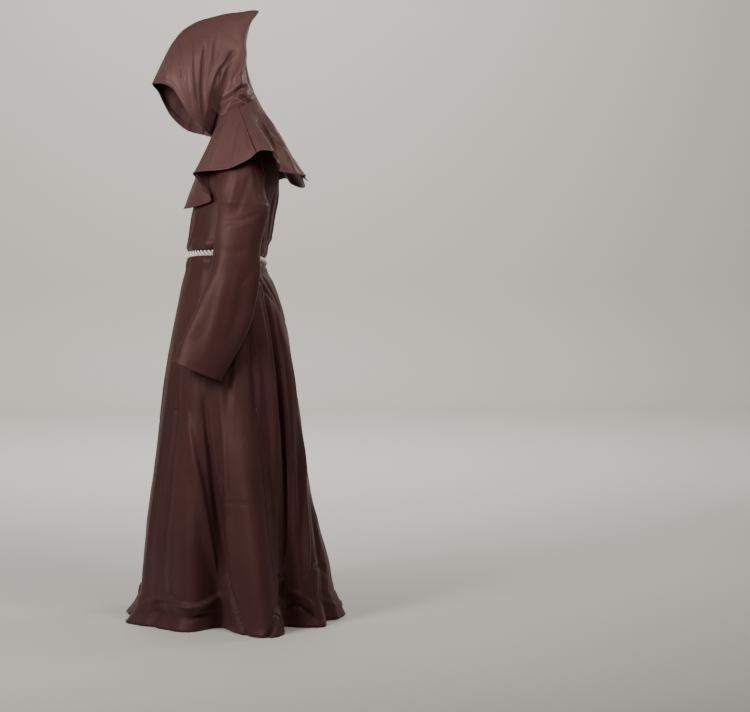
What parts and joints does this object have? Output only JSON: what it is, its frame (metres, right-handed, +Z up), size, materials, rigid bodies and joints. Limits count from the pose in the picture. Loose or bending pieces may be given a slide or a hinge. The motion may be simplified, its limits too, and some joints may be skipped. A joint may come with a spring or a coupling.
{
  "type": "monk robe",
  "caption": "Floor-length robe with set-in sleeves, a rope belt and a pointed hood on a fluted shoulder cape, as it hangs when worn.",
  "frame": {"origin": "between the wearer's shoulders, 1.45 m above the floor that the hem lies on", "axes": "+Z up, -Y the wearer's front, +X the wearer's left"},
  "size_m": [0.6811, 0.6458, 1.7646],
  "materials": {
    "robe_satin": "plum-brown satin-faced polyester with a soft sheen",
    "cape_satin": "plum-brown satin-faced polyester with a soft sheen",
    "belt_cotton": "cream three-strand cotton rope"
  },
  "bodies": {
    "root": {"robe_front": "robe_satin", "robe_back": "robe_satin", "sleeve_left": "robe_satin", "sleeve_right": "robe_satin", "cape_front": "cape_satin", "cape_back": "cape_satin", "hood_left": "cape_satin", "hood_right": "cape_satin", "hood_hem_left": "cape_satin", "hood_hem_right": "cape_satin", "rope_belt": "belt_cotton", "belt_knot": "belt_cotton"}
  },
  "joints": []
}
